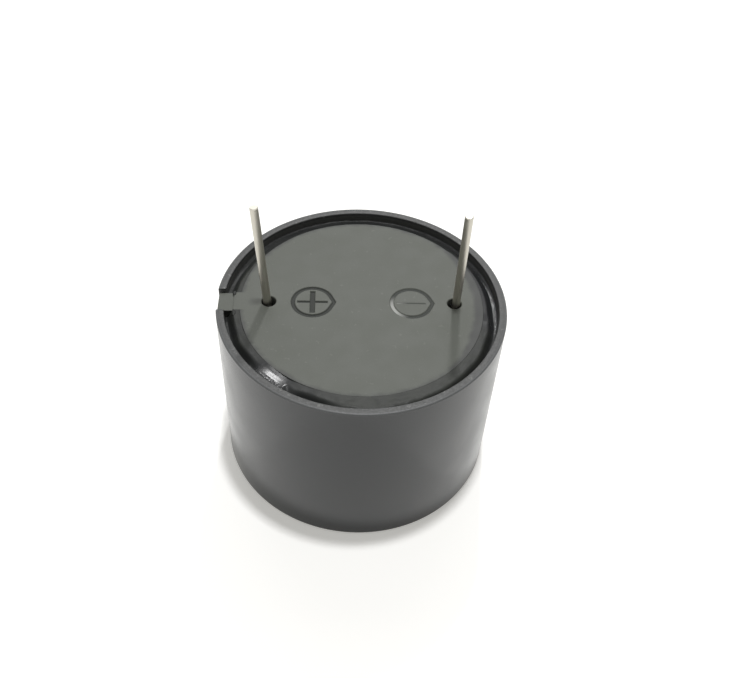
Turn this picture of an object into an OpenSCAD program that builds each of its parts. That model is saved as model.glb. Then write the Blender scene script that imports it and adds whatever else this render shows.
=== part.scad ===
// Round piezo buzzer with its driver built in and two wire leads, seen with its leads up.
// Millimetres, +Z up. The origin is the centre of the sound face, the leads stand on the
// X axis, and the positive lead and the locating key are towards -X.

/* [Case] */
// Outer diameter of the case
case_d = 23; // [22:0.5:26]
// Height of the case from the sound face to the rim
case_h = 16; // [15:0.5:20]
// Wall of the rim, round the sealant
rim_wall = 0.63; // [0.5:0.01:0.8]
// Wall of the case below the plate's ledge
case_wall = 1.3; // [1.1:0.05:1.5]
// Thickness of the sound face
front_wall = 1.2; // [0.8:0.1:1.8]
// Diameter of the sound hole
sound_hole_d = 3; // [2:0.25:5]
// Depth of the pocket that takes the base plate, below the rim
pocket_depth = 2.6; // [2.2:0.1:3.2]
// Fillet round the sound face
face_fillet = 0.3; // [0.1:0.05:0.6]
// Chamfer on the rim's two edges
rim_chamfer = 0.08; // [0.04:0.01:0.15]
// Width of the key slot in the rim
slot_w = 2.3; // [1.6:0.1:3.2]

/* [Diaphragm] */
// Height of the diaphragm's seat above the sound face's inner side
seat_h = 1.8; // [1.2:0.1:2.4]
// How far the seat reaches under the diaphragm
seat_overlap = 0.6; // [0.4:0.05:0.9]
// Depth of the ribs that centre the diaphragm and carry the board
rib_depth = 1.1; // [0.8:0.05:1.3]
// Width of each rib
rib_w = 1.2; // [0.8:0.1:2]
// Number of ribs
rib_count = 6; // [3:1:6]
// Radial clearance between the diaphragm and the ribs
diaphragm_gap = 0.1; // [0.05:0.01:0.2]
// Thickness of the brass diaphragm
diaphragm_t = 0.2; // [0.1:0.05:0.3]
// Bare brass between the ceramic disc and the edge of the bead
brass_margin = 1.9; // [1.5:0.1:2.6]
// Thickness of the ceramic disc
disc_t = 0.2; // [0.1:0.05:0.3]
// Thickness of the fired silver
silver_t = 0.05; // [0.03:0.01:0.08]
// Bare ceramic edge round the silver
silver_margin = 0.4; // [0.2:0.05:0.6]
// Width of the feedback tongue
tongue_w = 2; // [1.6:0.1:2.6]
// Length of the feedback tongue from the silver's edge
tongue_l = 4; // [3:0.25:5]
// Bare ceramic gap round the tongue
tongue_gap = 0.4; // [0.2:0.05:0.6]

/* [Base plate] */
// How far the plate's face lies below the rim
plate_drop = 0.2; // [0.1:0.05:0.5]
// Width of the sealant channel round the plate
channel_w = 1.22; // [0.9:0.02:1.6]
// Thickness of the plate's face
plate_t = 1; // [0.8:0.1:1.3]
// Wall of the plate's skirt
skirt_wall = 1; // [0.7:0.1:1.4]
// Thickness of the flange that sits on the case's ledge
flange_t = 0.8; // [0.5:0.1:1]
// Radial clearance round the flange
flange_gap = 0.12; // [0.05:0.01:0.2]
// Clearance on each side of the key in its slot
key_gap = 0.15; // [0.05:0.01:0.3]
// How far the key's end lies inside the case's outer wall
key_inset = 0.15; // [0.05:0.01:0.3]
// Step down of the key's outer part below the plate's face
key_step = 0.12; // [0.05:0.01:0.3]
// Length of the key's upper part beyond the plate's edge
key_land = 0.5; // [0.3:0.05:0.8]
// Chamfer round the plate's face
plate_chamfer = 0.08; // [0.04:0.01:0.15]
// Diameter of the boss round each lead
boss_d = 2.8; // [2.2:0.1:3.4]

/* [Sealant] */
// Depth of the sealant's lowest line below the rim
seal_drop = 1.15; // [0.95:0.05:1.3]
// How far the sealant climbs the walls on its two sides
seal_climb = 0.2; // [0.1:0.01:0.3]

/* [Leads] */
// Distance between the two leads
lead_pitch = 15; // [12.5:0.5:16]
// Diameter of the lead wire
lead_d = 0.65; // [0.5:0.05:0.8]
// Length of each lead outside the plate
lead_free = 9.15; // [5:0.05:14]
// Radial clearance round each lead in the plate
lead_gap = 0.25; // [0.15:0.01:0.35]
// Height above the plate's face at which a lead starts to lean
lead_bend_rise = 0.2; // [0.05:0.05:0.5]
// Chamfer at the lead's tip
lead_chamfer = 0.06; // [0.02:0.01:0.1]
// Outward lean of the positive lead, in degrees
plus_out_angle = 3.7; // [0:0.1:5]
// Backward lean of the positive lead, in degrees
plus_back_angle = 2; // [1:0.1:5]
// Inward lean of the negative lead, in degrees
minus_in_angle = 0.4; // [0:0.1:5]
// Forward lean of the negative lead, in degrees
minus_front_angle = 2; // [1:0.1:5]
// Length of each lead below the board
lead_stub = 0.9; // [0.6:0.1:1.3]

/* [Board] */
// Thickness of the circuit board
board_t = 1; // [0.6:0.1:1.6]
// Radial clearance between the board and the case wall
board_gap = 0.3; // [0.15:0.05:0.5]
// Clearance round a wire in its board hole
board_hole_gap = 0.05; // [0.03:0.01:0.1]
// Width of the solder pad round a lead, outside the wire
pad_w = 0.6; // [0.4:0.05:0.8]
// How far the ring of small parts under the board lies inside the board's edge
parts_inset = 3.1; // [2.8:0.1:3.6]

/* [Choke] */
// Outer diameter of the drum core
choke_d = 6.4; // [5:0.2:8]
// Height of the drum core
choke_h = 4.4; // [3:0.1:5.4]
// Clearance between the choke and the plate
choke_clear = 1.4; // [0.5:0.1:2]
// Thickness of each flange of the drum core
choke_flange_t = 0.8; // [0.5:0.1:1]
// Diameter of the drum core's post
choke_post_d = 2.6; // [2:0.1:3.2]
// How far the winding lies inside the flanges
choke_winding_inset = 0.35; // [0.2:0.05:0.6]
// Distance between the choke's two leads
choke_pitch = 4; // [3:0.25:4.5]
// Diameter of the choke's leads
choke_lead_d = 0.5; // [0.4:0.05:0.6]

/* [Wires] */
// Outer diameter of the wires between board and disc
wire_d = 0.5; // [0.4:0.05:0.6]
// Width of the slack bow in each wire
wire_bow = 0.6; // [0.2:0.1:1]
// Radius of each solder dot
dot_r = 0.6; // [0.5:0.05:0.65]
// Height of each solder dot
dot_h = 0.35; // [0.25:0.05:0.4]

/* [Hidden] */
$fn = 96;
cut = 0.5; // how far a cutting tool runs past the face that it cuts

// Case, from outside to inside
case_r = case_d / 2;
pocket_r = case_r - rim_wall;
bore_r = case_r - case_wall;
rib_r = bore_r - rib_depth;
ledge_z = case_h - pocket_depth;
seat_z = front_wall + seat_h;

// Diaphragm stack
diaphragm_r = rib_r - diaphragm_gap;
seat_r = diaphragm_r - seat_overlap;
disc_z = seat_z + diaphragm_t;
silver_z = disc_z + disc_t;
silver_top = silver_z + silver_t;
disc_r = seat_r - brass_margin;
silver_r = disc_r - silver_margin;
bead_w = rib_r - seat_r;

// Base plate
plate_r = pocket_r - channel_w;
plate_z = case_h - plate_drop;
plate_under = plate_z - plate_t;
flange_r = pocket_r - flange_gap;
flange_top = ledge_z + flange_t;
key_w = slot_w - 2 * key_gap;
key_end_r = case_r - key_inset;

// Board, hung below the plate by the height of the choke
board_top = plate_under - choke_clear - choke_h;
board_z = board_top - board_t;
board_r = bore_r - board_gap;
parts_r = board_r - parts_inset;

// Leads
lead_x = lead_pitch / 2;
lead_hole_r = lead_d / 2 + lead_gap;
lead_hole_x = lead_x - 0.55 * lead_gap; // each wire stands toward the outer side of its hole
lead_bottom = board_z - lead_stub;
lead_bend_z = plate_z + lead_bend_rise;
choke_lead_y = choke_pitch / 2;

// Wires: where each one stands, on the disc and on the board alike
dot_clear = 0.4; // silver left outside a solder dot
main_angle = 40;
ground_angle = 135;
main_r = silver_r - dot_clear - dot_r;
ground_r = disc_r + brass_margin / 2;
main_at = main_r * [cos(main_angle), sin(main_angle)];
ground_at = ground_r * [cos(ground_angle), sin(ground_angle)];
feedback_at = [0, -main_r];
wires_at = [main_at, feedback_at];
wire_sides = 10;
wire_steps = 20;

// Surface-mounted parts under the board: length, width and height of each body, and
// length and width of each foot
chip_size = [2, 1.25, 0.5];
capacitor_size = [2, 1.25, 0.9];
diode_size = [2.7, 1.6, 1.1];
diode_foot = [0.5, 0.7];
transistor_size = [2.9, 1.3, 1];
transistor_foot = [0.4, 0.55];
transistor_pitch = 1.9; // between the two feet on the same side
joint_t = 0.05; // solder layer between a part and the board
body_lift = 0.05; // gap between a moulded body and that layer
chip_cap = 0.35; // length of a chip's end caps
cap_proud = 0.03; // how far an end cap stands out of the body

// Where each of them stands on its ring, as an angle seen from the leads' side
load_angle = 90;
transistor_angle = 157;
diode_angle = 208;
capacitor_angle = 242;
feedback_angle = 298;
base_angle = 325;

// ---------- case ----------

module case_section() {
    difference() {
        union() {
            translate([0, face_fillet]) square([case_r, case_h - face_fillet - rim_chamfer]);
            square([case_r - face_fillet, case_h]);
            translate([case_r - face_fillet, face_fillet]) circle(r = face_fillet);
            polygon([
                [pocket_r, case_h - rim_chamfer], [case_r, case_h - rim_chamfer],
                [case_r - rim_chamfer, case_h], [pocket_r, case_h]
            ]);
        }
        // chamber in front of the diaphragm, bore, pocket and the rim's inner chamfer
        translate([-cut, front_wall]) square([seat_r + cut, case_h]);
        translate([-cut, seat_z]) square([bore_r + cut, case_h]);
        translate([-cut, ledge_z]) square([pocket_r + cut, case_h]);
        polygon([
            [0, case_h - rim_chamfer], [pocket_r, case_h - rim_chamfer],
            [pocket_r + rim_chamfer + cut, case_h + cut], [0, case_h + cut]
        ]);
    }
}

module ribs() {
    intersection() {
        translate([0, 0, seat_z]) difference() {
            cylinder(r = bore_r, h = board_z - seat_z);
            translate([0, 0, -cut]) cylinder(r = rib_r, h = board_z - seat_z + 2 * cut);
        }
        for (i = [0:rib_count - 1])
            rotate((i + 0.5) * 360 / rib_count)
                translate([0, -rib_w / 2, 0]) cube([case_r, rib_w, case_h]);
    }
}

module case() {
    color("#2b2b2c") difference() {
        union() {
            rotate_extrude() intersection() {
                case_section();
                square([case_r + cut, case_h + cut]);
            }
            ribs();
        }
        translate([0, 0, -cut]) cylinder(d = sound_hole_d, h = front_wall + 2 * cut);
        translate([-case_r - cut, -slot_w / 2, ledge_z])
            cube([case_r - bore_r + cut, slot_w, pocket_depth + cut]);
    }
}

// ---------- base plate and sealant ----------

module plate_section() {
    polygon([
        [0, plate_under], [plate_r - skirt_wall, plate_under], [plate_r - skirt_wall, ledge_z],
        [flange_r, ledge_z], [flange_r, flange_top], [plate_r, flange_top],
        [plate_r, plate_z - plate_chamfer], [plate_r - plate_chamfer, plate_z], [0, plate_z]
    ]);
}

// The key: an upper land beside the plate and a lower end inside the rim slot
module key() {
    land_r = plate_r + key_land;
    root = skirt_wall / 2;
    translate([-land_r, -key_w / 2, ledge_z])
        cube([land_r - plate_r + root, key_w, plate_z - ledge_z]);
    translate([-key_end_r, -key_w / 2, ledge_z])
        cube([key_end_r - plate_r + root, key_w, plate_z - key_step - ledge_z]);
}

module base_plate() {
    color("#6b6e6a") difference() {
        union() {
            rotate_extrude() plate_section();
            key();
            for (x = [-lead_hole_x, lead_hole_x])
                translate([x, 0, board_top])
                    cylinder(d = boss_d, h = plate_under - board_top + plate_t / 2);
        }
        for (x = [-lead_hole_x, lead_hole_x])
            translate([x, 0, board_top - cut])
                cylinder(r = lead_hole_r, h = plate_z - board_top + 2 * cut);
    }
}

// The surface is hollow between two walls: an arc through both edges and the lowest line
module sealant_ring() {
    mid_r = plate_r + channel_w / 2;
    low_z = case_h - seal_drop;
    arc_r = (pow(channel_w / 2, 2) + pow(seal_climb, 2)) / (2 * seal_climb);
    color("#161616") difference() {
        rotate_extrude() difference() {
            translate([plate_r, flange_top]) square([channel_w, low_z + seal_climb - flange_top]);
            translate([mid_r, low_z + arc_r]) circle(r = arc_r);
        }
        translate([-case_r, -key_w / 2, flange_top - cut]) cube([case_r, key_w, pocket_depth]);
    }
}

// ---------- leads ----------

// Straight through board and plate, then straight on to the tip at a lean. The two wires
// meet in a mitre at the bend. The leans are given towards +X and +Y.
module lead(x, lean_x, lean_y) {
    lean = atan(norm([tan(lean_x), tan(lean_y)]));
    low_l = lead_bend_z - lead_bottom;
    free_l = lead_free - lead_bend_rise - lead_chamfer;
    reach = 4 * lead_d; // half the size of the block that cuts a mitre
    module mitre(up) {
        rotate([0, lean / 2, 0]) translate([0, 0, up * reach]) cube(2 * reach, center = true);
    }
    translate([x, 0, lead_bend_z]) rotate(atan2(tan(lean_y), tan(lean_x))) {
        difference() {
            translate([0, 0, -low_l]) cylinder(d = lead_d, h = low_l + lead_d);
            mitre(1);
        }
        difference() {
            rotate([0, lean, 0]) {
                translate([0, 0, -lead_d]) cylinder(d = lead_d, h = free_l + lead_d);
                translate([0, 0, free_l])
                    cylinder(d1 = lead_d, d2 = lead_d - 2 * lead_chamfer, h = lead_chamfer);
            }
            mitre(-1);
        }
    }
}

module pin_plus() {
    color("#b9b6ac") lead(-lead_x, -plus_out_angle, plus_back_angle);
}

module pin_minus() {
    color("#b9b6ac") lead(lead_x, -minus_in_angle, -minus_front_angle);
}

// ---------- diaphragm ----------

module diaphragm() {
    color("#c8a951") translate([0, 0, seat_z]) cylinder(r = diaphragm_r, h = diaphragm_t);
}

module piezo_disc() {
    color("#d9d2bd") translate([0, 0, disc_z]) cylinder(r = disc_r, h = disc_t);
}

// A tongue with a round inner end, from the silver's edge at -Y
module tongue(extra) {
    end_y = -silver_r + tongue_l - tongue_w / 2;
    translate([0, end_y]) circle(d = tongue_w + 2 * extra);
    translate([-tongue_w / 2 - extra, -disc_r]) square([tongue_w + 2 * extra, disc_r + end_y]);
}

module disc_electrodes() {
    color("#cfcfcf") translate([0, 0, silver_z]) linear_extrude(silver_t) {
        difference() {
            circle(r = silver_r);
            tongue(tongue_gap);
        }
        intersection() {
            circle(r = silver_r);
            tongue(0);
        }
    }
}

// A quarter-round bead on the diaphragm's edge that also fills the gap to the ribs
module diaphragm_bead() {
    color("#e8e6df") rotate_extrude() {
        intersection() {
            translate([seat_r, disc_z]) square([bead_w, bead_w]);
            translate([rib_r, disc_z]) circle(r = bead_w);
        }
        translate([diaphragm_r, seat_z]) square([diaphragm_gap, diaphragm_t]);
    }
}

// ---------- board ----------

module circuit_board() {
    wire_hole = [[lead_d, lead_x, 0], [lead_d, -lead_x, 0],
                 [choke_lead_d, 0, choke_lead_y], [choke_lead_d, 0, -choke_lead_y]];
    color("#b08d57") translate([0, 0, board_z]) difference() {
        cylinder(r = board_r, h = board_t);
        for (w = wire_hole)
            translate([w[1], w[2], -cut]) cylinder(d = w[0] + 2 * board_hole_gap, h = board_t + 2 * cut);
    }
}

// A fillet of solder under the board round a wire, with a small flat lip at both ends
module solder_fillet(wire_d) {
    lip = pad_w / 8;
    r = pad_w - lip;
    mirror([0, 0, 1]) rotate_extrude() translate([wire_d / 2, 0]) difference() {
        square([pad_w, pad_w]);
        translate([pad_w, pad_w]) circle(r = r);
    }
}

// A low dome with a flat top that takes the wire's end
module solder_dot() {
    intersection() {
        sphere(r = dot_r);
        cylinder(r = dot_r + cut, h = dot_h);
    }
}

module board_solder() {
    color("#c4c4c4") translate([0, 0, board_z]) {
        for (s = [-1, 1]) {
            translate([s * lead_x, 0, 0]) solder_fillet(lead_d);
            translate([0, s * choke_lead_y, 0]) solder_fillet(choke_lead_d);
        }
        for (p = [main_at, feedback_at, ground_at]) translate(p) mirror([0, 0, 1]) solder_dot();
    }
}

module disc_solder() {
    color("#c4c4c4") {
        for (p = wires_at) translate([p[0], p[1], silver_top]) solder_dot();
        translate([ground_at[0], ground_at[1], disc_z]) solder_dot();
    }
}

// ---------- wires ----------

// A round wire from p at low_z up to its dot under the board, upright at both ends, with a
// slack bow towards the angle turn. Rings of points stand square to the bow's curve.
module wire(p, low_z, turn) {
    h = board_z - dot_h - low_z;
    ring = [for (k = [0:wire_sides - 1]) 360 * k / wire_sides];
    points = [
        for (i = [0:wire_steps])
            let (a = 360 * i / wire_steps, slope = atan(PI * wire_bow * sin(a) / h))
                for (k = ring) [
                    wire_bow * (1 - cos(a)) / 2 + wire_d / 2 * cos(k) * cos(slope),
                    wire_d / 2 * sin(k),
                    h * i / wire_steps - wire_d / 2 * cos(k) * sin(slope)
                ]
    ];
    sides = [
        for (i = [0:wire_steps - 1], k = [0:wire_sides - 1])
            let (j = (k + 1) % wire_sides, low = i * wire_sides, high = low + wire_sides)
                [low + k, high + k, high + j, low + j]
    ];
    first = [for (k = [0:wire_sides - 1]) k];
    last = [for (k = [wire_sides - 1:-1:0]) wire_steps * wire_sides + k];
    translate([p[0], p[1], low_z]) rotate(turn)
        polyhedron(points = points, faces = concat(sides, [first, last]));
}

module main_lead() {
    color("#b23a30") wire(main_at, silver_top + dot_h, main_angle);
}

module feedback_lead() {
    color("#2f5fa8") wire(feedback_at, silver_top + dot_h, -90);
}

module ground_lead() {
    color("#222222") wire(ground_at, disc_z + dot_h, ground_angle - 90);
}

// ---------- choke ----------

module choke_core() {
    color("#3a3a3d") translate([0, 0, board_top]) {
        cylinder(d = choke_d, h = choke_flange_t);
        cylinder(d = choke_post_d, h = choke_h);
        translate([0, 0, choke_h - choke_flange_t]) cylinder(d = choke_d, h = choke_flange_t);
    }
}

module choke_winding() {
    color("#a8602c") translate([0, 0, board_top + choke_flange_t]) difference() {
        cylinder(d = choke_d - 2 * choke_winding_inset, h = choke_h - 2 * choke_flange_t);
        translate([0, 0, -cut]) cylinder(d = choke_post_d, h = choke_h + 2 * cut);
    }
}

module choke_leads() {
    color("#c4c4c4") for (y = [-choke_lead_y, choke_lead_y])
        translate([0, y, lead_bottom]) cylinder(d = choke_lead_d, h = board_top - lead_bottom);
}

// ---------- surface-mounted parts, under the board ----------

// Places a part face down on its ring, its length along the ring and its solder against
// the board
module under_board(angle) {
    rotate(angle) translate([parts_r, 0, board_z]) rotate(90) mirror([0, 0, 1]) children();
}

module box_on(size) {
    translate([-size[0] / 2, -size[1] / 2, 0]) cube(size);
}

// A body with two end caps that stand on their solder
module chip(size) {
    translate([0, 0, joint_t]) box_on([size[0] - 2 * chip_cap, size[1], size[2]]);
    for (s = [-1, 1])
        translate([s * (size[0] - chip_cap) / 2, 0, 0])
            box_on([chip_cap, size[1] + 2 * cap_proud, size[2] + joint_t + cap_proud]);
}

module resistor(angle) {
    color("#1b1d22") under_board(angle) chip(chip_size);
}

module base_resistor() {
    resistor(base_angle);
}

module feedback_resistor() {
    resistor(feedback_angle);
}

module load_resistor() {
    resistor(load_angle);
}

module supply_capacitor() {
    color("#b59a6a") under_board(capacitor_angle) chip(capacitor_size);
}

// A moulded body with one foot at each end
module protection_diode() {
    color("#1c1c1c") under_board(diode_angle) {
        translate([0, 0, joint_t + body_lift]) box_on(diode_size);
        for (s = [-1, 1])
            translate([s * (diode_size[0] + diode_foot[0]) / 2, 0, 0])
                box_on([diode_foot[0], diode_foot[1], diode_size[2] / 2]);
    }
}

// A moulded body with two feet on one side and one on the other
module transistor() {
    foot_y = (transistor_size[1] + transistor_foot[1]) / 2;
    feet = [[-transistor_pitch / 2, -foot_y], [transistor_pitch / 2, -foot_y], [0, foot_y]];
    color("#1c1c1c") under_board(transistor_angle) {
        translate([0, 0, joint_t + body_lift]) box_on(transistor_size);
        for (f = feet)
            translate(f) box_on([transistor_foot[0], transistor_foot[1], transistor_size[2] / 2]);
    }
}

case();
base_plate();
sealant_ring();
pin_plus();
pin_minus();
diaphragm();
piezo_disc();
disc_electrodes();
diaphragm_bead();
circuit_board();
board_solder();
disc_solder();
main_lead();
feedback_lead();
ground_lead();
choke_core();
choke_winding();
choke_leads();
transistor();
base_resistor();
feedback_resistor();
load_resistor();
protection_diode();
supply_capacitor();
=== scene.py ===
"""A round piezo buzzer with its driver inside. It stands on its sound face, with both leads up."""

import math
import bmesh
import bpy
from mathutils import Matrix, Quaternion, Vector, noise


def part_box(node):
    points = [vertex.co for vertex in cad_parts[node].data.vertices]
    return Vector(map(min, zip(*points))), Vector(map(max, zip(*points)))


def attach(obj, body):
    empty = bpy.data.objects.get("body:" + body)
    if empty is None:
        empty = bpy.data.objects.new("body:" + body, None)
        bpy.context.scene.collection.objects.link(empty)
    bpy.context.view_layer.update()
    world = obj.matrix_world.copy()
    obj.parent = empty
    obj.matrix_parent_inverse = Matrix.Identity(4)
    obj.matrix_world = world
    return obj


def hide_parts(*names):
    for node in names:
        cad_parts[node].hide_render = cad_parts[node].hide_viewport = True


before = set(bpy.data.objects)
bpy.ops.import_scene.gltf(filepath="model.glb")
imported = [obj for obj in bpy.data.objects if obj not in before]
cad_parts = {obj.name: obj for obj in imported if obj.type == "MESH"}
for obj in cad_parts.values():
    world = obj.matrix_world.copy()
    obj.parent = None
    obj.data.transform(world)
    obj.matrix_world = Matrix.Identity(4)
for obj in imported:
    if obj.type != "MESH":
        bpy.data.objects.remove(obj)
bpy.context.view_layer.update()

MM = 0.001
UP = Vector((0, 0, 1))

# ---------- sizes in millimetres: places come from the frame, walls and rounds are named ----------

case_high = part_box("case")[1] / MM
plate_low, plate_high = (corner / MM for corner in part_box("base_plate"))
seal_low, seal_high = (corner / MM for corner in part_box("sealant_ring"))
board_low, board_high = (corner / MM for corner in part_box("circuit_board"))
brass_low, brass_high = (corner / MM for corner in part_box("diaphragm"))

# The case: a cup whose open end is the rim, with a wider pocket for the plate and the sealant
CASE_R = case_high.x
CASE_H = case_high.z
POCKET_R = seal_high.x
BORE_R = CASE_R - 1.3
LEDGE_Z = CASE_H - 2.6
FRONT_WALL = 1.2
SEAT_Z = brass_low.z
SEAT_R = brass_high.x - 0.6
SOUND_HOLE_R = 1.5
HOLE_ROUND = 0.1
FACE_FILLET = 0.3
RIM_ROUND = 0.08
RIM_OUTER_ROUND = 0.14
SLOT_W = 2.3
SLOT_BEVEL = 0.05
RIB_R = brass_high.x + 0.1
RIB_W = 1.2
RIB_SINK = 0.3
RIB_OVERLAP = 0.2
RIB_COUNT = 6

# The plate: a disc with a flange under the sealant, a key that fills the slot, and a boss a lead
PLATE_R = POCKET_R - 1.22
PLATE_Z = plate_high.z
PLATE_UNDER = PLATE_Z - 1.0
PLATE_ROUND = 0.05
SKIRT_R = PLATE_R - 1.0
FLANGE_R = plate_high.x
FLANGE_Z = seal_low.z
KEY_W = 2.0
KEY_END_R = -plate_low.x
KEY_LAND_R = PLATE_R + 0.5
KEY_STEP = 0.12
KEY_ROOT_R = PLATE_R - 0.5
KEY_ROUND = 0.05
BOSS_R = 1.4
BOSS_LOW = board_high.z

# The leads, and the holes they leave through. A lean is in degrees, towards +X and towards +Y
LEAD_X = 7.5
LEAD_R = 0.325
LEAD_HOLE_R = 0.575
LEAD_HOLE_X = 7.3625
LEAD_HOLE_BEVEL = 0.05
LEAD_BEND_Z = PLATE_Z + 0.2
LEAD_FREE = 8.95
LEAD_CHAMFER = 0.06
LEAD_ARC = 0.25
PLUS_LEAN = (-3.7, 2.0)
MINUS_LEAN = (-0.4, -2.0)

# The plus and minus marks, sunk into the plate with sloping walls
MARK_X = 3.92
MARK_R = 1.74
MARK_TIP = 1.9
MARK_LINE = 0.38
MARK_SLOPE = 0.09
MARK_BAR = 2.45
PLUS_BAR_W = 0.46
THIN_BAR_W = 0.26
PLUS_DEPTH = 0.11
MINUS_DEPTH = 0.08
THIN_BAR_DEPTH = 0.06
# Where one side of the minus mark's ring carries a painted highlight, and how far it reaches
GLINT_AT = (2.3, -0.75, 15.7)
GLINT_R = 1.7

# One turn of the choke's wire, along its height
WIRE_TURN = 0.16

# How finely the round shapes are divided, and how far a cutter reaches past what it cuts
STEPS = 240
SLOT_STEPS = 8
ARC_STEPS = 4
MARK_STEPS = 48
LEAD_SIDES = 48
BEND_STEPS = 8
OVER = 0.5
SHARP = math.radians(35)

# The attribute of the sealant's mesh that holds how much dull film lies on it
FILM = "film"


def srgb(code):
    """An sRGB hex value as the linear colour that a socket takes."""
    parts = [int(code[i : i + 2], 16) / 255 for i in (1, 3, 5)]
    return [p / 12.92 if p <= 0.04045 else ((p + 0.055) / 1.055) ** 2.4 for p in parts] + [1]


# ---------- materials ----------

MATH, VECTOR_MATH = "ShaderNodeMath", "ShaderNodeVectorMath"
MIX, RAMP = "ShaderNodeMix", "ShaderNodeMapRange"
# Sockets of a Mix node, by number, for colours and for plain values
FACTOR, COLOUR_A, COLOUR_B = 0, 6, 7
VALUE_A, VALUE_B = 2, 3
COLOURS = {"data_type": "RGBA"}
# A smooth ramp's inputs, in order: the value, where it starts and ends, and what it gives there
SMOOTH = {"interpolation_type": "SMOOTHSTEP"}


def add(tree, kind, inputs=(), **settings):
    """Adds a node, sets its properties, and sets or links its inputs, which come in order or by
    name. A hex value gives its colour, and a node gives its first output that is in use."""
    made = tree.nodes.new(kind)
    for name, value in settings.items():
        setattr(made, name, value)
    for key, value in inputs.items() if isinstance(inputs, dict) else enumerate(inputs):
        if isinstance(value, bpy.types.Node):
            value = next(output for output in value.outputs if output.enabled)
        if isinstance(value, bpy.types.NodeSocket):
            tree.links.new(value, made.inputs[key])
        else:
            made.inputs[key].default_value = srgb(value) if isinstance(value, str) else value
    return made


def start_material(name):
    """A new material, its tree, and the place on the object in millimetres."""
    material = bpy.data.materials.new(name)
    material.use_nodes = True
    tree = material.node_tree
    tree.nodes.clear()
    metres = add(tree, "ShaderNodeTexCoord").outputs["Object"]
    place = add(tree, VECTOR_MATH, [metres, [1 / MM] * 3], operation="MULTIPLY")
    return material, tree, place


def finish(tree, colour, rough, relief, depth, others=None):
    """The shader, with relief of this depth in millimetres and any other sockets that are set."""
    normal = add(tree, "ShaderNodeBump", {"Height": relief, "Strength": 1.0, "Distance": depth * MM})
    shader = add(tree, "ShaderNodeBsdfPrincipled", {
        "Base Color": colour, "Roughness": rough, "Normal": normal, **(others or {})})
    add(tree, "ShaderNodeOutputMaterial", {"Surface": shader})


def noise_at(tree, place, size, detail=3, stretch=(1, 1, 1)):
    """Noise between 0 and 1 with features of this size in mm, longer where stretch is above 1."""
    spread = add(tree, VECTOR_MATH, [place, [1 / (size * s) for s in stretch]], operation="MULTIPLY")
    return add(tree, "ShaderNodeTexNoise", {"Vector": spread, "Scale": 1.0, "Detail": detail})


def radius_and_height(tree, place):
    """Distance from the Z axis and height, in millimetres as the place is."""
    flat = add(tree, VECTOR_MATH, [place, (1, 1, 0)], operation="MULTIPLY")
    radius = add(tree, VECTOR_MATH, [flat], operation="LENGTH")
    height = add(tree, "ShaderNodeSeparateXYZ", [place]).outputs["Z"]
    return radius, height


def plain_finish(name, low, high, cloud_size, rough, grain_size, grain_depth, others=None,
                 stretch=(1, 1, 1)):
    """A cloudy tone between two colours, uneven roughness, and a fine grain that stands up. Sizes
    are in millimetres."""
    material, tree, place = start_material(name)
    cloud = noise_at(tree, place, cloud_size, stretch=stretch)
    grain = noise_at(tree, place, grain_size, stretch=stretch)
    tone = add(tree, MIX, {FACTOR: cloud, COLOUR_A: low, COLOUR_B: high}, **COLOURS)
    roughness = add(tree, RAMP, [grain, 0.2, 0.8, *rough], **SMOOTH)
    finish(tree, tone, roughness, grain, grain_depth, others)
    return material


def case_abs():
    """Black ABS, injection moulded. The outside is satin from a polished tool. The rim and what
    lies inside it are matt, and the rim is speckled where the sealant was wiped off. Below the
    rim the inside is painted paler, as painted light that lifts its shade, and the rim's outer
    edge is painted paler as a painted highlight."""
    material, tree, place = start_material("moulded_black_abs")
    radius, height = radius_and_height(tree, place)
    cloud = noise_at(tree, place, 3.0)
    grain = noise_at(tree, place, 0.15)
    specks = add(tree, RAMP, [noise_at(tree, place, 0.35, 2), 0.62, 0.72], **SMOOTH)

    # Painted highlight: the rim's outer edge is painted paler, standing in for the light its round
    # catches
    outermost = add(tree, RAMP, [radius, CASE_R - 0.22, CASE_R - 0.1], **SMOOTH)
    topmost = add(tree, RAMP, [height, CASE_H - 0.2, CASE_H - 0.06], **SMOOTH)
    painted_edge_highlight = add(tree, MATH, [outermost, topmost], operation="MULTIPLY")
    off_side = add(tree, RAMP, [radius, CASE_R - 0.01, CASE_R - 0.13], **SMOOTH)
    off_face = add(tree, RAMP, [height, 0.5 * FRONT_WALL, FRONT_WALL], **SMOOTH)
    inside = add(tree, MATH, [off_side, off_face], operation="MULTIPLY")
    # Painted light: below the rim the inside is painted a paler grey to lift its shade
    painted_light_below_rim = add(tree, RAMP, [height, CASE_H - 0.15, CASE_H - 0.35], **SMOOTH)

    satin = add(tree, MIX, {FACTOR: cloud, COLOUR_A: "#161a1d", COLOUR_B: "#1a1f22"}, **COLOURS)
    rim = add(tree, MIX, {FACTOR: specks, COLOUR_A: "#262726", COLOUR_B: "#4d4e4c"}, **COLOURS)
    # The paler grey below the rim is painted light, not the plastic's own colour
    matt = add(tree, MIX, {FACTOR: painted_light_below_rim, COLOUR_A: rim, COLOUR_B: "#4a4b48"}, **COLOURS)
    both = add(tree, MIX, {FACTOR: inside, COLOUR_A: satin, COLOUR_B: matt}, **COLOURS)
    # The paler grey at the rim's outer edge is a painted highlight
    colour = add(tree, MIX, {FACTOR: painted_edge_highlight, COLOUR_A: both, COLOUR_B: "#464848"}, **COLOURS)
    satin_rough = add(tree, RAMP, [cloud, 0.3, 0.7, 0.18, 0.26], **SMOOTH)
    matt_rough = add(tree, RAMP, [grain, 0.3, 0.7, 0.5, 0.62], **SMOOTH)
    rough = add(tree, MIX, {FACTOR: inside, VALUE_A: satin_rough, VALUE_B: matt_rough})
    finish(tree, colour, rough, grain, 0.003, {"IOR": 1.6})
    return material


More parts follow.
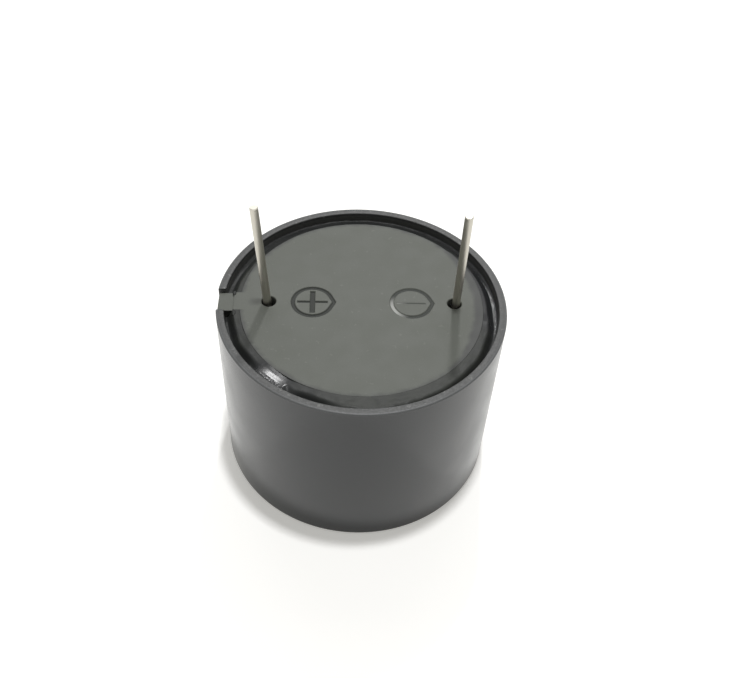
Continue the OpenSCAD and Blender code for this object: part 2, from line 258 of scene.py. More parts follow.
def plate_abs():
    """The same plastic moulded in an etched tool: matt, so it looks greyer and slightly mottled.
    The sunk marks are duller, and painted darker as painted shade in their grooves, the plus
    mark more than the minus. One side of the minus mark's ring carries a painted highlight, and
    the face is darker near its edge, most towards +X and not beside the key."""
    material, tree, place = start_material("etched_grey_abs")
    radius, height = radius_and_height(tree, place)
    x, y = add(tree, "ShaderNodeSeparateXYZ", [place]).outputs[:2]
    cloud = noise_at(tree, place, 1.6, 4)
    grain = noise_at(tree, place, 0.12)
    specks = add(tree, RAMP, [noise_at(tree, place, 0.45, 2), 0.66, 0.74, 0.0, 0.5], **SMOOTH)

    # The face is darker near its edge, most towards +X and not beside the key
    wander = add(tree, MATH, [noise_at(tree, place, 0.8, 2), 0.5], operation="MULTIPLY")
    wider = add(tree, RAMP, [x, 6, 9, 0.0, 0.55], **SMOOTH)
    spread = add(tree, MATH, [wander, wider], operation="ADD")
    reach = add(tree, MATH, [radius, spread], operation="ADD")
    edge = add(tree, RAMP, [reach, PLATE_R - 0.2, PLATE_R + 0.35], **SMOOTH)
    aside = add(tree, MATH, [y], operation="ABSOLUTE")
    beside_key = add(tree, RAMP, [aside, 0.9 * KEY_W / 2, KEY_W / 2], **SMOOTH)
    before_key = add(tree, RAMP, [x, -KEY_ROOT_R, -SKIRT_R], **SMOOTH)
    off_key = add(tree, MATH, [beside_key, before_key], operation="MAXIMUM")
    edge_dark = add(tree, MATH, [edge, off_key], operation="MULTIPLY")

    below_face = add(tree, RAMP, [height, PLATE_Z - 0.03, PLATE_Z - 0.07], **SMOOTH)
    off_edge = add(tree, RAMP, [radius, PLATE_R - 0.3, SKIRT_R], **SMOOTH)
    sunk = add(tree, MATH, [below_face, off_edge], operation="MULTIPLY")
    # Painted shade: the sunk marks are painted darker for the shade in their grooves, the plus mark
    # darker than the minus
    minus_side = add(tree, RAMP, [x, -0.5, 0.5], **SMOOTH)
    # Painted highlight: a pale patch on one side of the minus mark's ring stands in for a glint
    from_glint = add(tree, VECTOR_MATH, [place, GLINT_AT], operation="DISTANCE")
    painted_glint = add(tree, RAMP, [from_glint, GLINT_R, 0.2 * GLINT_R], **SMOOTH)

    mottled = add(tree, MIX, {FACTOR: cloud, COLOUR_A: "#42453e", COLOUR_B: "#484b43"}, **COLOURS)
    face = add(tree, MIX, {FACTOR: specks, COLOUR_A: mottled, COLOUR_B: "#575a52"}, **COLOURS)
    face_darker_at_edge = add(tree, MIX, {FACTOR: edge_dark, COLOUR_A: face, COLOUR_B: "#1e201d"}, **COLOURS)
    painted_mark_shade = add(tree, MIX, {FACTOR: minus_side, COLOUR_A: "#383a37", COLOUR_B: "#3e403d"}, **COLOURS)
    # The pale colour here is the painted highlight on the minus mark
    mark_shade_and_glint = add(tree, MIX, {FACTOR: painted_glint, COLOUR_A: painted_mark_shade, COLOUR_B: "#a3a4a0"}, **COLOURS)
    colour = add(tree, MIX, {FACTOR: sunk, COLOUR_A: face_darker_at_edge, COLOUR_B: mark_shade_and_glint}, **COLOURS)
    etched = add(tree, RAMP, [cloud, 0.3, 0.7, 0.56, 0.6], **SMOOTH)
    duller = add(tree, RAMP, [sunk, 0.0, 1.0, 0.0, 0.35], **SMOOTH)
    rough = add(tree, MATH, [etched, duller], operation="ADD")
    finish(tree, colour, rough, grain, 0.004, {"IOR": 1.53})
    return material


def black_epoxy():
    """Poured epoxy, cured in the open: black and glossy where it lies low, and under a dull grey
    film where it stands near the plate's edge. Small beads stand where it wets the wall. The film
    is stored on the mesh."""
    material, tree, place = start_material("poured_black_epoxy")
    radius, _ = radius_and_height(tree, place)
    film = add(tree, "ShaderNodeAttribute", attribute_name=FILM).outputs["Fac"]
    patches = add(tree, RAMP, [noise_at(tree, place, 0.7, 4), 0.25, 0.6, 0.6, 1.0], **SMOOTH)
    patchy = add(tree, MATH, [film, patches], operation="MULTIPLY")
    by_wall = add(tree, RAMP, [radius, POCKET_R - 0.45, POCKET_R - 0.15, 0.0, 8.0], **SMOOTH)
    beads = add(tree, MATH, [by_wall, noise_at(tree, place, 0.3, 2)], operation="MULTIPLY")
    relief = add(tree, MATH, [noise_at(tree, place, 0.4), beads], operation="ADD")
    colour = add(tree, MIX, {FACTOR: patchy, COLOUR_A: "#262728", COLOUR_B: "#2c2e2a"}, **COLOURS)
    rough = add(tree, RAMP, [patchy, 0.0, 0.12, 0.2, 0.45], **SMOOTH)
    finish(tree, colour, rough, relief, 0.005, {"IOR": 1.5, "Specular IOR Level": 0.2})
    return material


def tinned_wire():
    """Tin-plated steel wire: bright and softly metallic, a little uneven from the plating."""
    return plain_finish("tinned_steel", "#bdb9ae", "#c9c6bc", 1.2, (0.3, 0.38), 0.5, 0.002,
                        {"Metallic": 1.0}, (1, 1, 3))


def glazed_chip():
    """A chip resistor: white sintered alumina with a black glaze on the face away from the board."""
    material, tree, place = start_material("glazed_alumina")
    _, height = radius_and_height(tree, place)
    glaze = add(tree, RAMP, [height, board_low.z - 0.4, board_low.z - 0.44], **SMOOTH)
    grain = noise_at(tree, place, 0.1)
    ceramic = add(tree, MIX, {FACTOR: grain, COLOUR_A: "#d8d6cf", COLOUR_B: "#e6e4de"}, **COLOURS)
    colour = add(tree, MIX, {FACTOR: glaze, COLOUR_A: ceramic, COLOUR_B: "#151517"}, **COLOURS)
    rough = add(tree, RAMP, [glaze, 0.0, 1.0, 0.55, 0.18], **SMOOTH)
    finish(tree, colour, rough, grain, 0.002, {"IOR": 1.6})
    return material


def wound_copper():
    """Enamelled copper wire, wound in even turns: a ridge for each turn, under a clear varnish."""
    material, tree, place = start_material("enamelled_copper")
    _, height = radius_and_height(tree, place)
    phase = add(tree, MATH, [height, math.tau / WIRE_TURN], operation="MULTIPLY")
    turns = add(tree, MATH, [phase], operation="SINE")
    ridge = add(tree, RAMP, [turns, -1.0, 0.2], **SMOOTH)
    cloud = noise_at(tree, place, 1.2)
    tone = add(tree, MIX, {FACTOR: cloud, COLOUR_A: "#a4562a", COLOUR_B: "#b86a35"}, **COLOURS)
    # Painted shade: the colour goes dark brown in the creases between the turns
    colour = add(tree, MIX, {FACTOR: ridge, COLOUR_A: "#4a2410", COLOUR_B: tone}, **COLOURS)
    rough = add(tree, RAMP, [cloud, 0.3, 0.7, 0.28, 0.4], **SMOOTH)
    finish(tree, colour, rough, ridge, 0.03,
           {"Metallic": 1.0, "Coat Weight": 0.6, "Coat Roughness": 0.12})
    return material


def inner_finishes():
    """The finish of each part inside the case, by the frame's nodes."""
    metal = {"Metallic": 1.0}
    # Rolled brass: warm and bright, with fine streaks along the rolling
    brass = plain_finish("rolled_brass", "#b98f3e", "#cfa652", 0.5, (0.22, 0.4), 0.25, 0.002,
                         metal, (8, 1, 1))
    # Fired piezo ceramic: cream and matt
    ceramic = plain_finish("fired_lead_zirconate", "#c9bd9e", "#d6cbb0", 1.2, (0.5, 0.65), 0.08,
                           0.003)
    # Silver paste, printed and fired: pale metal, dulled by its grain
    silver = plain_finish("fired_silver_paste", "#bdbcb6", "#d0cfca", 0.8, (0.35, 0.5), 0.12,
                          0.004, metal)
    # Silicone squeezed from a nozzle: milky, soft-shining and uneven
    silicone = plain_finish("cured_white_silicone", "#dcd9d0", "#e6e3dc", 2.0, (0.32, 0.45), 0.6,
                            0.02)
    # Paper laminate: tan, with the paper's fibres along one way
    laminate = plain_finish("paper_phenolic_laminate", "#9a7442", "#b58b55", 0.5, (0.4, 0.55),
                            0.2, 0.004, None, (4, 1, 1))
    # Solder, melted and set: bright grey metal
    solder = plain_finish("reflowed_solder", "#b7b7b4", "#cbcac7", 0.5, (0.18, 0.34), 0.2, 0.003,
                          metal)
    # PVC drawn over wire: an even colour and a soft shine
    red = plain_finish("red_pvc_sleeve", "#a62f26", "#b33b30", 1.0, (0.3, 0.42), 0.15, 0.002)
    blue = plain_finish("blue_pvc_sleeve", "#27548f", "#31619f", 1.0, (0.3, 0.42), 0.15, 0.002)
    black = plain_finish("black_pvc_sleeve", "#1b1b1c", "#242425", 1.0, (0.3, 0.42), 0.15, 0.002)
    # Sintered ferrite: dark grey, matt and gritty
    ferrite = plain_finish("sintered_ferrite", "#303034", "#3c3c40", 0.5, (0.5, 0.68), 0.06, 0.005)
    # Filled epoxy, transfer moulded: near black, with a fine matt grain
    resin = plain_finish("moulded_component_epoxy", "#1d1d1e", "#272728", 0.6, (0.4, 0.55), 0.06,
                         0.003)
    # Fired titanate: a tan ceramic chip
    capacitor = plain_finish("fired_titanate_chip", "#a5855a", "#b59468", 0.5, (0.4, 0.55), 0.1,
                             0.002)
    chip = glazed_chip()
    return {
        "diaphragm": brass, "piezo_disc": ceramic, "disc_electrodes": silver,
        "diaphragm_bead": silicone, "circuit_board": laminate, "board_solder": solder,
        "disc_solder": solder, "main_lead": red, "feedback_lead": blue, "ground_lead": black,
        "choke_core": ferrite, "choke_winding": wound_copper(), "choke_leads": solder,
        "transistor": resin, "protection_diode": resin, "base_resistor": chip,
        "feedback_resistor": chip, "load_resistor": chip, "supply_capacitor": capacitor,
    }


# ---------- meshes ----------


def piece(name, made, material):
    """An object from a bmesh in millimetres: faces outwards, and sharp where they meet at an angle."""
    bmesh.ops.recalc_face_normals(made, faces=made.faces)
    mesh = bpy.data.meshes.new(name)
    made.to_mesh(mesh)
    made.free()
    mesh.transform(Matrix.Scale(MM, 4))
    mesh.materials.append(material)
    mesh.shade_smooth()
    mesh.set_sharp_from_angle(angle=SHARP)
    thing = bpy.data.objects.new(name, mesh)
    bpy.context.scene.collection.objects.link(thing)
    return thing


def apply_modifiers(thing):
    """Turns what the modifiers make into the object's own plain mesh."""
    evaluated = thing.evaluated_get(bpy.context.evaluated_depsgraph_get())
    shape = bpy.data.meshes.new_from_object(evaluated)
    thing.modifiers.clear()
    thing.data = shape


def cut_or_join(thing, tool, operation):
    """Joins a closed tool to the object, or cuts it away."""
    change = thing.modifiers.new(operation, "BOOLEAN")
    change.operation = operation
    change.solver = "EXACT"
    change.object = tool
    apply_modifiers(thing)
    bpy.data.objects.remove(tool)


def keep_flats(thing):
    """Sharp edges where faces meet at an angle, and normals that follow the large faces."""
    thing.data.shade_smooth()
    thing.data.set_sharp_from_angle(angle=SHARP)
    weight = thing.modifiers.new("flats", "WEIGHTED_NORMAL")
    weight.keep_sharp = True
    apply_modifiers(thing)


def rounded(corners):
    """The outline through (r, z, radius) corners, with each radius turned into an arc."""
    outline = []
    for i, (r, z, radius) in enumerate(corners):
        here = Vector((r, z))
        if radius == 0:
            outline.append(here)
            continue
        back = (Vector(corners[i - 1][:2]) - here).normalized()
        ahead = (Vector(corners[(i + 1) % len(corners)][:2]) - here).normalized()
        half = back.angle(ahead) / 2
        centre = here + (back + ahead).normalized() * radius / math.sin(half)
        start = here + back * radius / math.tan(half) - centre
        end = here + ahead * radius / math.tan(half) - centre
        turn = (math.pi - 2 * half) * math.copysign(1, start.x * end.y - start.y * end.x)
        outline += [centre + Matrix.Rotation(turn * k / ARC_STEPS, 2) @ start
                    for k in range(ARC_STEPS + 1)]
    return outline


def ring_of(made, r, z, angles):
    """A ring of points about the Z axis."""
    return [made.verts.new((r * math.cos(a), r * math.sin(a), z)) for a in angles]


def band(made, low, high):
    """Quads between two closed rings of as many points."""
    for j in range(len(low)):
        k = (j + 1) % len(low)
        made.faces.new((low[j], low[k], high[k], high[j]))


def closed_skin(made, rings):
    """A band between each two rings that follow, and a cap at each end."""
    for low, high in zip(rings, rings[1:]):
        band(made, low, high)
    made.faces.new(rings[0])
    made.faces.new(rings[-1])


def turned(corners):
    """A solid turned about Z from an outline whose first and last points lie on the axis."""
    made = bmesh.new()
    angles = [math.tau * j / STEPS for j in range(STEPS)]
    closed_skin(made, [ring_of(made, p.x, p.y, angles) for p in rounded(corners) if p.x > 0])
    return made


def case_shell():
    """The case as one closed shell, with the key slot left open in its rings."""
    outline = rounded([
        (SOUND_HOLE_R, 0, HOLE_ROUND), (CASE_R, 0, FACE_FILLET), (CASE_R, LEDGE_Z, 0),
        (CASE_R, CASE_H, RIM_OUTER_ROUND), (POCKET_R, CASE_H, RIM_ROUND), (POCKET_R, LEDGE_Z, 0),
        (BORE_R, LEDGE_Z, 0), (BORE_R, SEAT_Z, 0), (SEAT_R, SEAT_Z, 0), (SEAT_R, FRONT_WALL, 0),
        (SOUND_HOLE_R, FRONT_WALL, HOLE_ROUND),
    ])
    first = outline.index(Vector((CASE_R, LEDGE_Z)))
    last = outline.index(Vector((POCKET_R, LEDGE_Z)))
    made = bmesh.new()
    rings = []
    for i, p in enumerate(outline):
        edge = math.asin(SLOT_W / 2 / max(p.x, BORE_R))
        sweep = math.tau - 2 * edge
        angles = [math.pi + edge + sweep * j / STEPS for j in range(STEPS + 1)]
        # Above the ledge a ring ends at the slot's two sides, and elsewhere it closes
        if not first < i < last:
            angles += [math.pi - edge + 2 * edge * j / SLOT_STEPS for j in range(1, SLOT_STEPS)]
        rings.append(ring_of(made, p.x, p.y, angles))
    for i, low in enumerate(rings):
        high = rings[(i + 1) % len(rings)]
        if first <= i < last:
            for j in range(STEPS):
                made.faces.new((low[j], low[j + 1], high[j + 1], high[j]))
        else:
            band(made, low, high)
    outer, inner = rings[first], rings[last]
    crossing = list(range(STEPS, STEPS + SLOT_STEPS)) + [0]
    for j, k in zip(crossing, crossing[1:]):
        made.faces.new((outer[j], outer[k], inner[k], inner[j]))
    weight = made.edges.layers.float.new("bevel_weight_edge")
    for side in (0, STEPS):
        wall = made.faces.new([ring[side] for ring in rings[first : last + 1]])
        for edge in wall.edges:
            if max(v.co.z for v in edge.verts) > LEDGE_Z:
                edge[weight] = 1
    return made


def rib_tree():
    """Geometry Nodes: upright blocks, evenly round the Z axis and half a step off +X."""
    tree = bpy.data.node_groups.new("ribs_round_an_axis", "GeometryNodeTree")
    face = tree.interface
    face.new_socket("Geometry", in_out="OUTPUT", socket_type="NodeSocketGeometry")
    for name, kind in (("Count", "NodeSocketInt"), ("Radius", "NodeSocketFloat"),
                       ("Size", "NodeSocketVector"), ("Middle", "NodeSocketVector"),
                       ("Finish", "NodeSocketMaterial")):
        face.new_socket(name, in_out="INPUT", socket_type=kind)
    given = add(tree, "NodeGroupInput").outputs
    circle = add(tree, "GeometryNodeMeshCircle", [given["Count"], given["Radius"]])
    block = add(tree, "GeometryNodeMeshCube", [given["Size"]])
    step = add(tree, MATH, [math.tau, given["Count"]], operation="DIVIDE")
    turn = add(tree, MATH, [add(tree, "GeometryNodeInputIndex"), step], operation="MULTIPLY")
    facing = add(tree, "ShaderNodeCombineXYZ", {"Z": turn})
    copies = add(tree, "GeometryNodeInstanceOnPoints",
                 {"Points": circle, "Instance": block, "Rotation": facing})
    half_step = add(tree, MATH, [step, 0.5], operation="MULTIPLY")
    start = add(tree, "ShaderNodeCombineXYZ", {"Z": half_step})
    lifted = add(tree, "GeometryNodeTransform",
                 {"Geometry": copies, "Translation": given["Middle"], "Rotation": start})
    solid = add(tree, "GeometryNodeRealizeInstances", [lifted])
    dressed = add(tree, "GeometryNodeSetMaterial", {"Geometry": solid, "Material": given["Finish"]})
    add(tree, "NodeGroupOutput", [dressed])
    return tree


def grown(name, tree, values):
    """An object whose mesh the Geometry Nodes tree makes from these named inputs."""
    thing = bpy.data.objects.new(name, bpy.data.meshes.new(name))
    bpy.context.scene.collection.objects.link(thing)
    nodes = thing.modifiers.new("nodes", "NODES")
    nodes.node_group = tree
    for item in tree.interface.items_tree:
        if item.in_out == "INPUT" and item.name in values:
            nodes[item.identifier] = values[item.name]
    apply_modifiers(thing)
    return thing


def make_case(material):
    """The case, with fine bevels at the slot and the ribs that hold the diaphragm."""
    case = piece("case_moulding", case_shell(), material)
    bevel = case.modifiers.new("slot edges", "BEVEL")
    bevel.limit_method = "WEIGHT"
    bevel.width = SLOT_BEVEL * MM
    bevel.segments = 2
    apply_modifiers(case)
    root_r = BORE_R + RIB_SINK
    foot_z = SEAT_Z - RIB_OVERLAP
    ribs = grown("ribs", rib_tree(), {
        "Count": RIB_COUNT, "Radius": (RIB_R + root_r) / 2 * MM,
        "Size": ((root_r - RIB_R) * MM, RIB_W * MM, (board_low.z - foot_z) * MM),
        "Middle": (0, 0, (board_low.z + foot_z) / 2 * MM), "Finish": material})
    cut_or_join(case, ribs, "UNION")
    keep_flats(case)
    return case


def block(low, high, round_by):
    """A box between two corners with all edges rounded."""
    made = bmesh.new()
    bmesh.ops.create_cube(made, size=1)
    size = Vector(high) - Vector(low)
    for v in made.verts:
        v.co = Vector(low) + Vector(s * (c + 0.5) for s, c in zip(size, v.co))
    bmesh.ops.bevel(made, geom=made.edges[:], offset=round_by, segments=2, affect="EDGES", profile=0.5)
    return made


def moved(made, x):
    """Moves a shape along X."""
    bmesh.ops.translate(made, verts=made.verts, vec=(x, 0, 0))
    return made


def mark_outline(inset):
    """A circle with a small corner towards +X, as each mark's ring has, inset from its outer line."""
    radius, tip = MARK_R - inset, MARK_TIP - inset
    touch = math.acos(radius / tip)
    sweep = math.tau - 2 * touch
    arc = [touch + sweep * k / MARK_STEPS for k in range(MARK_STEPS + 1)]
    return [(tip, 0)] + [(radius * math.cos(a), radius * math.sin(a)) for a in arc]


def bar_outline(length, width):
    """A rectangle about the middle, from one corner round."""
    return [(-length / 2, -width / 2), (length / 2, -width / 2),
            (length / 2, width / 2), (-length / 2, width / 2)]


def sunk_ring(depth):
    """The cutter of a mark's ring: a groove with sloping walls."""
    made = bmesh.new()
    flare = MARK_SLOPE * OVER / depth
    loops = []
    for inset, z in ((-flare, OVER), (MARK_SLOPE, -depth),
                     (MARK_LINE - MARK_SLOPE, -depth), (MARK_LINE + flare, OVER)):
        loops.append([made.verts.new((x, y, PLATE_Z + z)) for x, y in mark_outline(inset)])
    for low, high in zip(loops, loops[1:] + loops[:1]):
        band(made, low, high)
    return made


def sunk_bar(length, width, depth, turn):
    """The cutter of a mark's bar, with sloping walls."""
    made = bmesh.new()
    flare = MARK_SLOPE * OVER / depth
    low = bar_outline(length - 2 * MARK_SLOPE, width - 2 * MARK_SLOPE)
    high = bar_outline(length + 2 * flare, width + 2 * flare)
    closed_skin(made, [[made.verts.new((x, y, PLATE_Z + z)) for x, y in loop]
                       for loop, z in ((low, -depth), (high, OVER))])
    bmesh.ops.rotate(made, verts=made.verts, matrix=Matrix.Rotation(turn, 3, "Z"))
    return made


def lead_boss():
    """A round boss from the plate's underside down to the board."""
    return turned([(0, BOSS_LOW, 0), (BOSS_R, BOSS_LOW, 0), (BOSS_R, PLATE_UNDER + OVER, 0),
                   (0, PLATE_UNDER + OVER, 0)])


def lead_hole():
    """The cutter of a lead's hole, with a small bevel at the plate's face."""
    mouth_r = LEAD_HOLE_R + LEAD_HOLE_BEVEL
    return turned([
        (0, BOSS_LOW - OVER, 0), (LEAD_HOLE_R, BOSS_LOW - OVER, 0),
        (LEAD_HOLE_R, PLATE_Z - LEAD_HOLE_BEVEL, 0), (mouth_r, PLATE_Z, 0),
        (mouth_r + OVER, PLATE_Z + OVER, 0), (0, PLATE_Z + OVER, 0),
    ])


def make_plate(material):
    """The plate, with its key, the bosses and holes of the leads, and the sunk marks."""
    plate = piece("plate_moulding", turned([
        (0, PLATE_UNDER, 0), (SKIRT_R, PLATE_UNDER, 0), (SKIRT_R, LEDGE_Z, 0), (FLANGE_R, LEDGE_Z, 0),
        (FLANGE_R, FLANGE_Z, 0), (PLATE_R, FLANGE_Z, 0), (PLATE_R, PLATE_Z, PLATE_ROUND),
        (0, PLATE_Z, 0),
    ]), material)
    side = KEY_W / 2
    joined = [
        block((-KEY_END_R, -side, LEDGE_Z), (-KEY_ROOT_R, side, PLATE_Z - KEY_STEP), KEY_ROUND),
        block((-KEY_LAND_R, -side, LEDGE_Z), (-KEY_ROOT_R, side, PLATE_Z), KEY_ROUND),
    ]
    cuts = []
    for x in (-LEAD_HOLE_X, LEAD_HOLE_X):
        joined.append(moved(lead_boss(), x))
        cuts.append(moved(lead_hole(), x))
    for x, ring_depth, bar_depth in ((-MARK_X, PLUS_DEPTH, PLUS_DEPTH),
                                     (MARK_X, MINUS_DEPTH, THIN_BAR_DEPTH)):
        cuts.append(moved(sunk_ring(ring_depth), x))
        cuts.append(moved(sunk_bar(MARK_BAR, THIN_BAR_W, bar_depth, 0), x))
    cuts.append(moved(sunk_bar(MARK_BAR, PLUS_BAR_W, PLUS_DEPTH, math.pi / 2), -MARK_X))
    for tool in joined:
        cut_or_join(plate, piece("tool", tool, material), "UNION")
    for tool in cuts:
        cut_or_join(plate, piece("tool", tool, material), "DIFFERENCE")
    keep_flats(plate)
    return plate


# The poured sealant, from the key round to the key again. A row holds the angle from +X in
# degrees, the depth below the rim at the plate and at the wall, how far across the channel it
# falls from one to the other, and how much dull film lies on it
SEAL_SHAPE = [
    (185, 0.2, 1.05, 0.6, 0.9), (190, 0.2, 1.05, 0.6, 0.9), (197, 0.3, 1.0, 0.6, 0.4),
    (206, 0.2, 0.9, 0.7, 0.8), (214, 0.24, 0.85, 0.6, 0.4), (219, 0.22, 0.65, 0.6, 0.4),
    (223, 0.16, 0.13, 0.5, 0.0), (236, 0.3, 0.27, 0.5, 0.0), (240, 0.25, 0.6, 0.7, 0.5),
    (246, 0.24, 0.75, 0.6, 0.4), (253, 0.2, 0.7, 0.7, 0.6), (262, 0.2, 0.5, 0.9, 1.0),
    (272, 0.2, 0.3, 0.9, 1.0), (284, 0.2, 0.45, 0.9, 1.0), (300, 0.2, 0.7, 0.9, 1.0),
    (324, 0.2, 0.85, 0.8, 1.0), (340, 0.2, 0.95, 0.62, 0.8), (348, 0.25, 0.95, 0.55, 0.05),
    (356, 0.4, 0.95, 0.45, 0.0), (380, 0.5, 0.9, 0.5, 0.0), (392, 0.5, 0.88, 0.5, 0.3),
    (410, 0.65, 0.85, 0.5, 0.5), (500, 0.7, 0.85, 0.5, 0.6), (515, 0.5, 0.94, 0.5, 0.9),
    (530, 0.3, 0.94, 0.5, 1.0), (536, 0.24, 0.9, 0.5, 1.0),
]
# Where it is measured across the channel, from the plate at 0 to the wall at 1, closer together
# where it climbs the wall
SEAL_ACROSS = [k / 16 for k in range(15)] + [0.91, 0.935, 0.955, 0.97, 0.98, 0.99, 1.0]
SEAL_FALL = 0.25
SEAL_MENISCUS = 0.08
SEAL_MENISCUS_W = 0.05
SEAL_WAVE = 0.05
SEAL_WAVES_PER_MM = 1.1
SEAL_DIMPLE = SEAL_WAVE / 4
SEAL_DIMPLES_PER_MM = 3
FILM_LOSS = 0.6
# Drops beside the key, each with its middle and its half sizes
DROPS = [((-10.12, 0.86, PLATE_Z - 0.02), (0.15, 0.24, 0.1)),
         ((-10.0, -1.3, PLATE_Z - 0.03), (0.14, 0.34, 0.1))]


def ease(t):
    """Smoothly from 0 to 1 as t goes from 0 to 1."""
    t = min(max(t, 0), 1)
    return t * t * (3 - 2 * t)


def seal_shape(angle):
    """A row's values at any angle, eased between the rows of the list."""
    degrees = math.degrees(angle)
    for low, high in zip(SEAL_SHAPE, SEAL_SHAPE[1:]):
        if degrees <= high[0] or high is SEAL_SHAPE[-1]:
            t = ease((degrees - low[0]) / (high[0] - low[0]))
            return [a + (b - a) * t for a, b in zip(low[1:], high[1:])]


def seal_point(angle, across):
    """Height of the sealant's surface and its film, where across goes from 0 at the plate to 1 at
    the wall."""
    at_plate, at_wall, middle, film = seal_shape(angle)
    fall = ease((across - middle + SEAL_FALL) / (2 * SEAL_FALL))
    climb = SEAL_MENISCUS * math.exp(-(1 - across) / SEAL_MENISCUS_W)
    r = PLATE_R + across * (POCKET_R - PLATE_R)
    spot = Vector((r * math.cos(angle), r * math.sin(angle), 0))
    ripple = (SEAL_WAVE * noise.noise(spot * SEAL_WAVES_PER_MM)
              + SEAL_DIMPLE * noise.noise(spot * SEAL_DIMPLES_PER_MM))
    depth = at_plate + (at_wall - at_plate) * fall - ripple * ease(3 * across) * ease(2 * film)
    return CASE_H - depth + climb, film * (1 - FILM_LOSS * fall)


def drop(at, size):
    """A flattened drop of sealant."""
    made = bmesh.new()
    bmesh.ops.create_uvsphere(made, u_segments=24, v_segments=14, radius=1)
    for v in made.verts:
        v.co = Vector(at) + Vector(s * c for s, c in zip(size, v.co))
    return made


def make_sealant(material):
    """The ring of sealant, open where the key crosses it, with a drop on each side of the key."""
    made = bmesh.new()
    films = []
    steps = 3 * STEPS
    rows = []
    for j in range(steps + 1):
        row = []
        # Over the surface from the plate to the wall, and back along the flange
        for t in SEAL_ACROSS + [1, 0]:
            r = PLATE_R + t * (POCKET_R - PLATE_R)
            edge = math.asin(KEY_W / 2 / r)
            angle = math.pi + edge + (math.tau - 2 * edge) * j / steps
            z, film = seal_point(angle, t)
            if len(row) >= len(SEAL_ACROSS):
                z = FLANGE_Z
            row.append(made.verts.new((r * math.cos(angle), r * math.sin(angle), z)))
            films.append(film)
        rows.append(row)
    closed_skin(made, rows)
    sealant = piece("sealant_bead", made, material)
    sealant.data.attributes.new(FILM, "FLOAT", "POINT").data.foreach_set("value", films)
    for at, size in DROPS:
        cut_or_join(sealant, piece("drop", drop(at, size), material), "UNION")
    keep_flats(sealant)
    return sealant


def make_lead(name, x, lean, material):
    """A lead: upright through the plate, a small bend, then straight at its lean to a cut tip."""
    low_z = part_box(name)[0].z / MM
    lean_x, lean_y = (math.tan(math.radians(a)) for a in lean)
    direction = Vector((lean_x, lean_y, 1)).normalized()
    bend = Vector((x, 0, LEAD_BEND_Z))
    line = [(Vector((x, 0, low_z)), UP, LEAD_R)]
    # The bend is a quadratic curve between the two straight lengths
    for k in range(BEND_STEPS + 1):
        t = k / BEND_STEPS
        a, b = bend - UP * LEAD_ARC, bend + direction * LEAD_ARC
        at = a * (1 - t) ** 2 + bend * 2 * t * (1 - t) + b * t * t
        line.append((at, UP.slerp(direction, t), LEAD_R))
    for length, r in ((LEAD_FREE - LEAD_CHAMFER, LEAD_R), (LEAD_FREE, LEAD_R - LEAD_CHAMFER)):
        line.append((bend + direction * length, direction, r))
    made = bmesh.new()
    rings = []
    for at, along, r in line:
        across = along.cross(Vector((0, 1, 0))).normalized()
        beside = along.cross(across)
        rings.append([made.verts.new(at + r * (across * math.cos(a) + beside * math.sin(a)))
                      for a in (math.tau * k / LEAD_SIDES for k in range(LEAD_SIDES))])
    closed_skin(made, rings)
    lead = piece(name + "_wire", made, material)
    keep_flats(lead)
    return lead


# ---------- camera, light and floor ----------


def make_camera():
    """The camera stands in front of the buzzer and a little to the left, and looks down at it."""
    camera_at = Vector((-2.281, -50.225, 65.395)) * MM
    looks_at = Vector((0.826, 3.250, 8.0)) * MM
    roll = math.radians(3.127)
    data = bpy.data.cameras.new("camera")
    data.sensor_width = 36
    data.lens = 43.51
    data.clip_start = 1 * MM
    data.clip_end = 10
    camera = bpy.data.objects.new("camera", data)
    bpy.context.scene.collection.objects.link(camera)
    camera.location = camera_at
    camera.rotation_mode = "QUATERNION"
    aim = (looks_at - camera_at).to_track_quat("-Z", "Y")
    camera.rotation_quaternion = aim @ Quaternion((0, 0, 1), roll)
    bpy.context.scene.camera = camera


def softbox(name, width, height, azimuth, elevation, distance, level):
    """A rectangular lamp aimed at the rim, with sizes in millimetres and the azimuth from +Y
    towards +X. Level 1 alone would light a white surface to white."""
    data = bpy.data.lights.new(name, "AREA")
    data.shape = "RECTANGLE"
    data.size, data.size_y = width * MM, height * MM
    data.energy = level * (math.pi * distance * MM) ** 2
    lamp = bpy.data.objects.new(name, data)
    bpy.context.scene.collection.objects.link(lamp)
    a, e = math.radians(azimuth), math.radians(elevation)
    away = Vector((math.sin(a) * math.cos(e), math.cos(a) * math.cos(e), math.sin(e)))
    lamp.location = Vector((0, 0, CASE_H * MM)) + away * distance * MM
    lamp.rotation_mode = "QUATERNION"
    lamp.rotation_quaternion = away.to_track_quat("Z", "Y")


def seen_directly(tree):
    """1 for rays from the camera, from gloss and through glass, and 0 for the rest."""
    path = add(tree, "ShaderNodeLightPath").outputs
    seen = add(tree, MATH, [path["Is Camera Ray"], path["Is Glossy Ray"]], operation="MAXIMUM")
    return add(tree, MATH, [seen, path["Is Transmission Ray"]], operation="MAXIMUM")


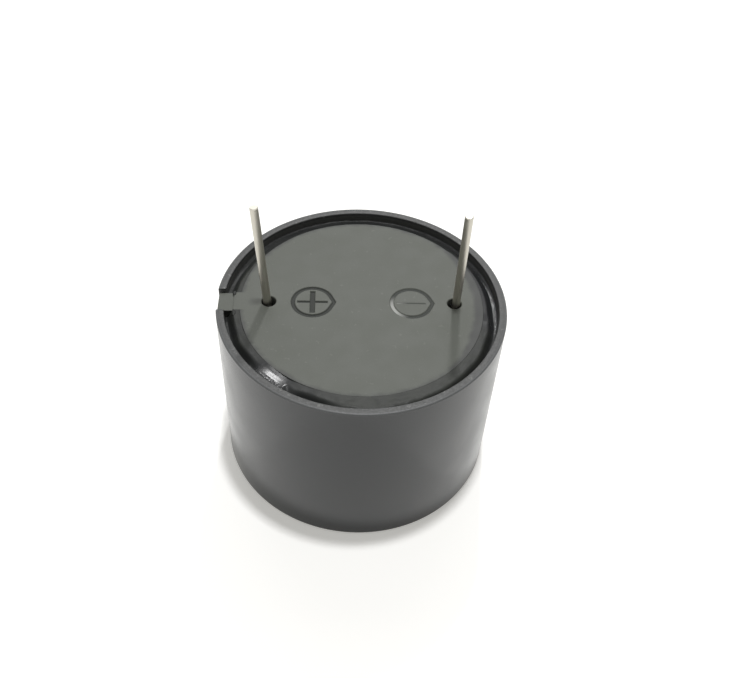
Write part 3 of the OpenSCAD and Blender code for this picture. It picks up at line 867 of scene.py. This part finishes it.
def make_world():
    """A plain white room: white where it is seen, and a softer fill for light."""
    world = bpy.data.worlds.new("white_room")
    bpy.context.scene.world = world
    world.use_nodes = True
    tree = world.node_tree
    tree.nodes.clear()
    strength = add(tree, RAMP, {"Value": seen_directly(tree), "To Min": 0.2, "To Max": 1.0})
    sky = add(tree, "ShaderNodeBackground", {"Color": "#ffffff", "Strength": strength})
    add(tree, "ShaderNodeOutputWorld", [sky])


def make_floor():
    """A white table top: it is lifted to white where it is seen, more so far from the buzzer, and
    keeps the soft shadow."""
    half_side = 600
    gap_below = 0.02
    material, tree, place = start_material("white_table")
    board = add(tree, "ShaderNodeBsdfDiffuse", {"Color": "#f5f5f4"})
    away, _ = radius_and_height(tree, place)
    strength = add(tree, RAMP, [away, 40, 160, 0.34, 1.0], **SMOOTH)
    glow = add(tree, "ShaderNodeEmission", {"Color": "#fffdf6", "Strength": strength})
    dark = add(tree, "ShaderNodeEmission", {"Color": "#000000", "Strength": 0})
    lift = add(tree, "ShaderNodeMixShader", [seen_directly(tree), dark, glow])
    both = add(tree, "ShaderNodeAddShader", [board, lift])
    add(tree, "ShaderNodeOutputMaterial", {"Surface": both})
    made = bmesh.new()
    bmesh.ops.create_grid(made, x_segments=1, y_segments=1, size=half_side)
    bmesh.ops.translate(made, verts=made.verts, vec=(0, 0, -gap_below))
    piece("table", made, material)


# ---------- the scene ----------

bpy.context.scene.view_settings.view_transform = "Standard"
make_camera()
make_world()
make_floor()
softbox("window", width=300, height=220, azimuth=0, elevation=50, distance=360, level=0.2)
softbox("ceiling_lamp", width=20, height=20, azimuth=8, elevation=52, distance=400, level=0.23)
softbox("lamp_overhead", width=24, height=24, azimuth=37, elevation=87, distance=400, level=0.56)

replaced = [
    (make_case(case_abs()), "case", "case_plastic"),
    (make_plate(plate_abs()), "base_plate", "plate_plastic"),
    (make_sealant(black_epoxy()), "sealant_ring", "sealant"),
]
wire = tinned_wire()
for node, x, lean in (("pin_plus", -LEAD_X, PLUS_LEAN), ("pin_minus", LEAD_X, MINUS_LEAN)):
    replaced.append((make_lead(node, x, lean, wire), node, "lead_wire"))
for thing, node, slot in replaced:
    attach(thing, "root")
    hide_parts(node)

for node, material in inner_finishes().items():
    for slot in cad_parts[node].material_slots:
        slot.material = material
